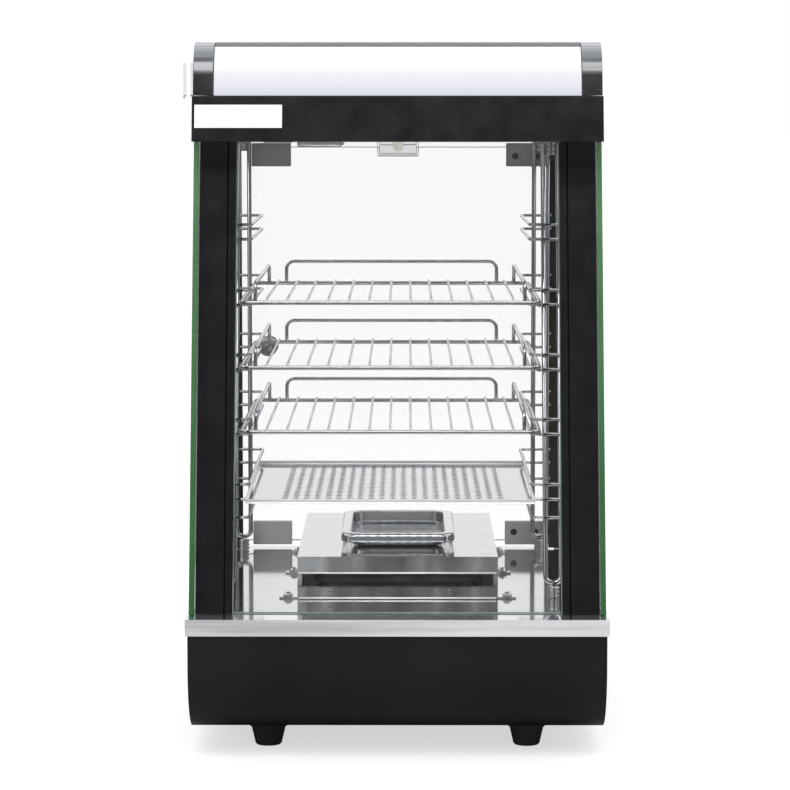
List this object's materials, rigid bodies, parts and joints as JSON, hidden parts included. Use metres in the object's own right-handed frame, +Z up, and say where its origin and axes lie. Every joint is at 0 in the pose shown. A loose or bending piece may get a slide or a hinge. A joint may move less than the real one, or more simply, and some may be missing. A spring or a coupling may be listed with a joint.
{
  "type": "hot food display case",
  "caption": "Countertop heated glass case with a leaning front, wire shelves, a tray, a heater with a water pan, a lit sign panel and a hinged rear glass door.",
  "frame": {"origin": "on the counter, under the middle of the case", "axes": "+Z up, the customer's side faces -Y, the rear door and the controls face +Y, +X is to the right seen from the front"},
  "size_m": [0.3865, 0.476, 0.645],
  "materials": {
    "black_paint": "gloss black powder coat",
    "black_plastic": "satin black moulding",
    "stainless": "polished stainless sheet",
    "chrome": "bright chrome plate",
    "case_glass": "clear float glass, green edges",
    "clear_plastic": "clear moulded plastic",
    "sign_white": "white lit diffuser",
    "lamp_glass": "frosted lamp glass",
    "indicator_amber": "amber lens",
    "rubber_foot": "matt black rubber",
    "element_sheath": "heat-darkened sheath"
  },
  "bodies": {
    "case": {"base_shell": "black_paint", "bottom_plate": "black_paint", "pillar_left": "black_paint", "pillar_right": "black_paint", "rear_post_left": "black_paint", "rear_post_right": "black_paint", "header_shell": "black_paint", "header_end_left": "black_paint", "header_end_right": "black_paint", "control_panel": "black_paint", "door_magnet": "black_plastic", "thermostat_body": "black_plastic", "power_switch_body": "black_plastic", "light_switch_body": "black_plastic", "deck_tray": "stainless", "ceiling_panel": "stainless", "heater_cover": "stainless", "thermostat_probe": "stainless", "rack_left": "chrome", "rack_right": "chrome", "rack_bush_front_left": "chrome", "rack_bush_front_right": "chrome", "rack_bush_rear_left": "chrome", "rack_bush_rear_right": "chrome", "cover_screw_front_left": "chrome", "cover_screw_front_right": "chrome", "cover_screw_rear_left": "chrome", "cover_screw_rear_right": "chrome", "front_glass": "case_glass", "side_glass_left": "case_glass", "side_glass_right": "case_glass", "lamp_cover": "clear_plastic", "ticket_clip": "clear_plastic", "sign_panel": "sign_white", "sign_lamp": "lamp_glass", "lamp_bulb": "lamp_glass", "indicator_lamp": "indicator_amber", "foot_front_left": "rubber_foot", "foot_front_right": "rubber_foot", "foot_rear_left": "rubber_foot", "foot_rear_right": "rubber_foot", "cord_gland": "rubber_foot", "heating_element": "element_sheath"},
    "door": {"door_glass": "case_glass", "hinge_clamp_lower": "black_plastic", "hinge_clamp_upper": "black_plastic", "catch_plate_lower": "black_plastic", "catch_plate_upper": "black_plastic", "door_knob": "black_plastic"},
    "top_shelf": {"wire_shelf_1": "chrome", "shelf_guard_1": "chrome"},
    "middle_shelf": {"wire_shelf_2": "chrome", "shelf_guard_2": "chrome"},
    "lower_shelf": {"wire_shelf_3": "chrome", "shelf_guard_3": "chrome"},
    "tray": {"food_tray": "stainless"},
    "pan": {"water_pan": "stainless"},
    "thermostat_dial": {"thermostat_knob": "black_plastic"},
    "power_rocker": {"power_switch_rocker": "black_plastic"},
    "light_rocker": {"light_switch_rocker": "black_plastic"}
  },
  "joints": [
    {"name": "door_hinge", "type": "hinge", "parent": "case", "child": "door", "pos_m": [0.152, 0.2075, 0.34], "axis": [0, 0, -1], "range_deg": [0, 110]},
    {"name": "top_shelf_slide", "type": "slide", "parent": "case", "child": "top_shelf", "axis": [0, 1, 0], "range_m": [0, 0.026]},
    {"name": "middle_shelf_slide", "type": "slide", "parent": "case", "child": "middle_shelf", "axis": [0, 1, 0], "range_m": [0, 0.026]},
    {"name": "lower_shelf_slide", "type": "slide", "parent": "case", "child": "lower_shelf", "axis": [0, 1, 0], "range_m": [0, 0.026]},
    {"name": "tray_slide", "type": "slide", "parent": "case", "child": "tray", "axis": [0, 1, 0], "range_m": [0, 0.05]},
    {"name": "pan_lift", "type": "slide", "parent": "case", "child": "pan", "axis": [0, 0, 1], "range_m": [0, 0.035]},
    {"name": "thermostat_turn", "type": "hinge", "parent": "case", "child": "thermostat_dial", "pos_m": [0.105, 0.212, 0.076], "axis": [0, -1, 0], "range_deg": [0, 270]},
    {"name": "power_switch_rock", "type": "hinge", "parent": "case", "child": "power_rocker", "pos_m": [0.03, 0.212, 0.076], "axis": [1, 0, 0], "range_deg": [0, 16]},
    {"name": "light_switch_rock", "type": "hinge", "parent": "case", "child": "light_rocker", "pos_m": [-0.012, 0.212, 0.076], "axis": [1, 0, 0], "range_deg": [0, 16]}
  ]
}
